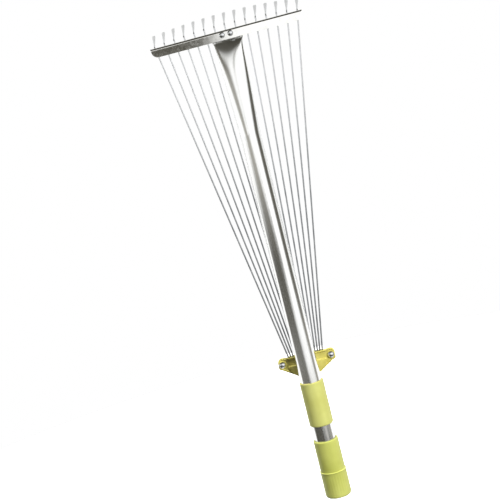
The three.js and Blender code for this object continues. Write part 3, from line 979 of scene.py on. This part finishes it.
def make_fasteners():
    """Two bolts through the guide plate and two screws through the holder, each with its nut."""
    for label in ("left", "right"):
        make_screw(f"guide_bolt_{label}", BOLT_HEAD_HEIGHT, TUBE_RADIUS)
        make_screw(f"holder_screw_{label}", SCREW_HEAD_HEIGHT, WING_BACK_Y)
        make_nut(f"guide_nut_{label}")
        make_nut(f"holder_nut_{label}")


# ---- studio ----
CAMERA_DISTANCE = 1.0321
CAMERA_HEIGHT = 0.3937
CAMERA_AZIMUTH = math.radians(3.4)
CAMERA_YAW = math.radians(1.86)
CAMERA_PITCH = math.radians(4.31)
CAMERA_ROLL = math.radians(-13.99)
CAMERA_LENS = 62.4
SENSOR_WIDTH = 36

# Soft round lamps, which don't show in the metal: name, place, diameter and power in watts.
LAMPS = (
    ("key", (1.15, -1.6, 1.0), 0.5, 51),
    ("fill", (-1.4, 0.9, 0.7), 0.8, 17),
    ("overhead", (0, -0.1, 1.9), 1.2, 50),
)
LAMP_TARGET = (0, 0, 0.25)

FLOOR_RADIUS = 0.9
FLOOR_THICKNESS = 2 * MM
FLOOR_GLOW = 0.7

# The metal mirrors the white room at full strength. The plastics get only a share of its light.
WALL_BRIGHTNESS = 1.3
SOFT_LIGHT_SHARE = 0.14

# Dark and grey flags hung in the room, which the metal mirrors. For each: azimuth from and to, in
# degrees to the right of straight in front, how soft those edges are, elevation from and to, how
# soft those are, and how bright the flag is. A later flag hangs in front of an earlier one. They
# are a little warm, the darker the warmer.
FLAG_TINT = (1.0, 0.95, 0.78)
FLAGS = (
    # in front on the left, from low down to high up
    ((-99, -12, 12), (-12.3, -6, 4), 0.15),
    ((-99, -1, 12), (-60, -12.3, 3), 0.15),
    ((-99, -4, 8), (-10, -7.5, 3), 0.11),
    ((-99, 11, 12), (-7.5, -2, 3), 0.06),
    ((-70, -10, 14), (-3, 1, 4), 0.22),
    ((-50, -16, 12), (0, 9, 5), 0.48),
    ((-52, -24, 12), (9, 20, 3), 0.48),
    ((-118, -25, 12), (20, 60, 4), 0.2),
    # narrow ones that show in the guide plate's flange and its fold
    ((-16, -4.1, 2.2), (7, 17, 3), 0.12),
    ((-9.5, -4.1, 2), (25, 40, 4), 0.3),
    # low down, where the stretch of tube above the socket mirrors them
    ((-99, 100, 8), (-60, -15.2, 2), 0.35),
    ((-99, 22, 24), (-60, -15.2, 2), 0.08),
    ((48, 100, 16), (-60, -15.2, 2), 0.13),
    # on the right
    ((70, 97, 12), (-60, -8, 4), 0.4),
    ((60, 106, 14), (-10, 28, 4), 0.13),
    # overhead
    ((-130, 130, 12), (36, 100, 14), 0.09),
    ((-200, 200, 1), (60, 100, 10), 0.07),
    # pale ones high up behind
    ((130, 200, 12), (34, 60, 6), 0.85),
    ((-200, -130, 12), (34, 60, 6), 0.85),
)


def make_camera():
    heading = CAMERA_AZIMUTH + CAMERA_YAW
    forward = Vector((
        -math.sin(heading) * math.cos(CAMERA_PITCH), math.cos(heading) * math.cos(CAMERA_PITCH),
        -math.sin(CAMERA_PITCH)))
    level = Vector((math.cos(heading), math.sin(heading), 0))
    upright = level.cross(forward)
    right = math.cos(CAMERA_ROLL) * level + math.sin(CAMERA_ROLL) * upright
    up = math.cos(CAMERA_ROLL) * upright - math.sin(CAMERA_ROLL) * level
    turn = Matrix((right, up, -forward)).transposed().to_4x4()
    spot = Vector((math.sin(CAMERA_AZIMUTH), -math.cos(CAMERA_AZIMUTH), 0)) * CAMERA_DISTANCE
    spot.z = CAMERA_HEIGHT
    data = bpy.data.cameras.new("camera")
    data.lens = CAMERA_LENS
    data.sensor_width = SENSOR_WIDTH
    data.clip_start = 0.01
    camera = bpy.data.objects.new("camera", data)
    camera.matrix_world = Matrix.Translation(spot) @ turn
    bpy.context.scene.collection.objects.link(camera)
    bpy.context.scene.camera = camera


def make_walls():
    """A white studio with dark flags in it. The camera sees plain white behind the object."""
    world = bpy.data.worlds.new("studio")
    bpy.context.scene.world = world
    world.use_nodes = True
    studio = Nodes(world.node_tree)
    studio.tree.nodes.clear()
    direction = studio.node("ShaderNodeTexCoord", {}).outputs["Generated"]
    split = studio.node("ShaderNodeSeparateXYZ", {0: direction}).outputs
    ahead = studio.math("MULTIPLY", split["Y"], -1.0)
    azimuth = studio.math("DEGREES", studio.math("ARCTAN2", split["X"], ahead))
    elevation = studio.math("DEGREES", studio.math("ARCSINE", split["Z"]))

    room = (WALL_BRIGHTNESS, WALL_BRIGHTNESS, WALL_BRIGHTNESS, 1)
    for across, upright, bright in FLAGS:
        covered = 1.0
        for value, (start, end, soft) in ((azimuth, across), (elevation, upright)):
            rise = studio.slope(value, start - soft / 2, start + soft / 2)
            fall = studio.slope(value, end - soft / 2, end + soft / 2, 1, 0)
            covered = studio.math("MULTIPLY", covered, studio.math("MULTIPLY", rise, fall))
        shade = [bright * lerp(tint, 1, bright) for tint in FLAG_TINT]
        room = studio.mix(covered, room, (*shade, 1))

    ray = studio.node("ShaderNodeLightPath", {}).outputs
    backdrop = studio.mix(ray["Is Camera Ray"], room, (1, 1, 1, 1))
    strength = studio.slope(ray["Is Diffuse Ray"], 0, 1, 1, SOFT_LIGHT_SHARE)
    background = studio.node("ShaderNodeBackground", {"Color": backdrop, "Strength": strength}).outputs[0]
    studio.node("ShaderNodeOutputWorld", {"Surface": background})


def make_lamp(name, place, diameter, power):
    data = bpy.data.lights.new(name, "AREA")
    data.shape = "DISK"
    data.size = diameter
    data.energy = power
    lamp = bpy.data.objects.new(name, data)
    aim = (Vector(LAMP_TARGET) - Vector(place)).to_track_quat("-Z", "Y")
    lamp.matrix_world = Matrix.Translation(place) @ aim.to_matrix().to_4x4()
    lamp.visible_glossy = False
    bpy.context.scene.collection.objects.link(lamp)


def make_floor():
    """A pale glowing disc under the socket, which neither shows in the metal nor lights the object."""
    floor = pillar("floor", 0, 0, FLOOR_RADIUS, cad_low.z - FLOOR_THICKNESS, cad_low.z, 128)
    look = Surface("pale_floor", metallic=0.0, specular=0.2)
    mottle = look.noise(look.stretched(30, 30, 30), detail=3)
    look.set("Base Color", look.mix(look.spread(mottle, 0, 1), srgb(244, 244, 242), srgb(250, 250, 249)))
    look.shader.inputs["Roughness"].default_value = 0.8
    look.shader.inputs["Emission Color"].default_value = (1, 1, 1, 1)
    look.shader.inputs["Emission Strength"].default_value = FLOOR_GLOW
    floor.data.materials.append(look.material)
    floor.visible_glossy = False
    floor.visible_diffuse = False


def make_studio():
    make_camera()
    make_walls()
    for lamp in LAMPS:
        make_lamp(*lamp)
    make_floor()
    bpy.context.scene.view_settings.view_transform = "Standard"


make_tube()
make_socket()
make_sleeve()
make_holder_front()
make_holder_back()
make_tines()
make_guide()
make_fasteners()
make_studio()
